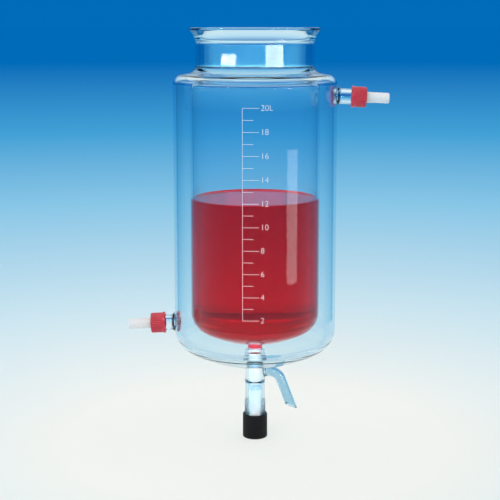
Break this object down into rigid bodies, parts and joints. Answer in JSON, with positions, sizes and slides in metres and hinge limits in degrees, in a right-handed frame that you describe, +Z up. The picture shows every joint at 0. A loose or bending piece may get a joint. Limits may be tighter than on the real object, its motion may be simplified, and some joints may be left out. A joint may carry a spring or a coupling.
{
  "type": "jacketed glass vessel",
  "caption": "Double-walled glass vessel with a wide flanged neck, two side hose connections and a screw-operated outlet valve with a bent drain spout at its dished bottom.",
  "frame": {"origin": "centre of the flange's top face, on the axis of the neck's bore", "axes": "+Z up along the vessel's axis, +X to the drain spout and the upper hose connection"},
  "size_m": [0.5066, 0.315, 0.808],
  "materials": {
    "clear_glass": "clear, fire polished",
    "red_plastic": "satin moulded",
    "white_fluoroplastic": "smooth, slightly waxy",
    "pale_silicone": "soft, translucent",
    "red_rubber": "smooth moulded",
    "black_plastic": "satin moulded",
    "spring_steel": "ground"
  },
  "bodies": {
    "root": {"neck_flange": "clear_glass", "jacket_shoulder": "clear_glass", "jacket_wall": "clear_glass", "jacket_bottom": "clear_glass", "vessel_shoulder": "clear_glass", "vessel_wall": "clear_glass", "vessel_bottom": "clear_glass", "outlet_neck": "clear_glass", "valve_barrel": "clear_glass", "drain_spout": "clear_glass", "upper_hose_port": "clear_glass", "lower_hose_port": "clear_glass"},
    "upper_nozzle": {"upper_hose_nozzle": "white_fluoroplastic", "upper_sealing_ring": "pale_silicone"},
    "upper_cap": {"upper_screw_cap": "red_plastic"},
    "lower_nozzle": {"lower_hose_nozzle": "white_fluoroplastic", "lower_sealing_ring": "pale_silicone"},
    "lower_cap": {"lower_screw_cap": "red_plastic"},
    "spindle": {"valve_spindle": "white_fluoroplastic", "tip_seal_ring": "red_rubber", "spindle_lip_seal": "pale_silicone", "spindle_wiper_ring": "pale_silicone", "thrust_washer": "white_fluoroplastic", "retaining_clip": "spring_steel"},
    "knob": {"valve_knob": "black_plastic"}
  },
  "joints": [
    {"name": "upper_connection_slide", "type": "slide", "parent": "root", "child": "upper_nozzle", "axis": [0.999, 0, -0.0454], "range_m": [0, 0.01]},
    {"name": "upper_cap_turn", "type": "hinge", "parent": "upper_nozzle", "child": "upper_cap", "pos_m": [0.19906, 0, -0.13199], "axis": [0.999, 0, -0.0454], "range_deg": [0, 900]},
    {"name": "lower_connection_slide", "type": "slide", "parent": "root", "child": "lower_nozzle", "axis": [-0.999, 0, -0.0454], "range_m": [0, 0.01]},
    {"name": "lower_cap_turn", "type": "hinge", "parent": "lower_nozzle", "child": "lower_cap", "pos_m": [-0.19007, 0, -0.57578], "axis": [-0.999, 0, -0.0454], "range_deg": [0, 900]},
    {"name": "spindle_slide", "type": "slide", "parent": "root", "child": "spindle", "axis": [0, 0, -1], "range_m": [0, 0.012]},
    {"name": "knob_turn", "type": "hinge", "parent": "spindle", "child": "knob", "pos_m": [0, 0, -0.78], "axis": [0, 0, -1], "range_deg": [0, 1080]}
  ],
  "couplings": [
    {"joint": "upper_connection_slide", "follows": "upper_cap_turn", "m_per_rad": 0.000636},
    {"joint": "lower_connection_slide", "follows": "lower_cap_turn", "m_per_rad": 0.000636},
    {"joint": "spindle_slide", "follows": "knob_turn", "m_per_rad": 0.0006366}
  ]
}
